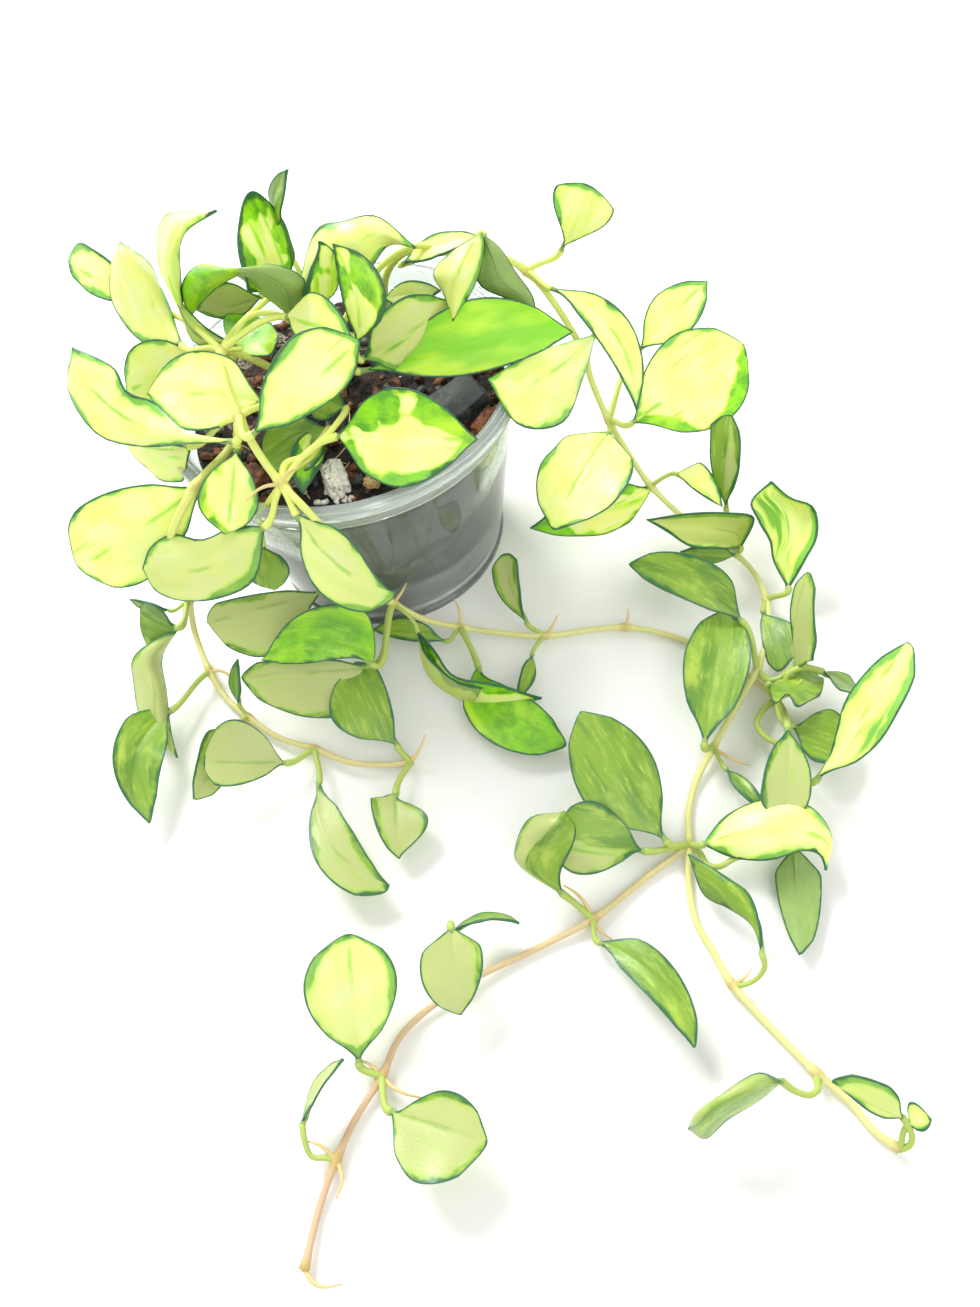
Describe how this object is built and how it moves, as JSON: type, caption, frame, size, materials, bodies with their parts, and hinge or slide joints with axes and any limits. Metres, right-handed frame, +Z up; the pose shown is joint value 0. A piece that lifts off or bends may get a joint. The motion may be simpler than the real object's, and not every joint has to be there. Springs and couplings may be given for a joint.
{
  "type": "potted hoya",
  "caption": "Variegated trailing hoya in a clear plastic pot of bark mix, its long leafy vines lying over the rim and along the surface.",
  "frame": {"origin": "centre of the pot's foot, on the surface it stands on", "axes": "+Z up; +Y away from the front, where the vines lie on the surface; +X to the right"},
  "size_m": [0.2462, 0.3035, 0.143],
  "materials": {
    "clear_plastic": "clear, glossy",
    "dark_mix": "rough",
    "pumice": "rough",
    "charcoal": "rough",
    "bark": "rough",
    "front_green": "waxy leaf",
    "left_green": "waxy leaf",
    "right_green": "waxy leaf",
    "crown_green": "waxy leaf"
  },
  "bodies": {
    "root": {"pot": "clear_plastic", "potting_mix": "dark_mix", "pumice_lump": "pumice", "pumice_bit": "pumice", "charcoal_slab": "charcoal", "bark_chip_right": "bark", "bark_chip_middle": "bark", "bark_chip_left": "bark", "bark_chip_back": "bark", "vine_front": "front_green", "vine_left": "left_green", "vine_right": "right_green", "crown_shoots": "crown_green"}
  },
  "joints": []
}
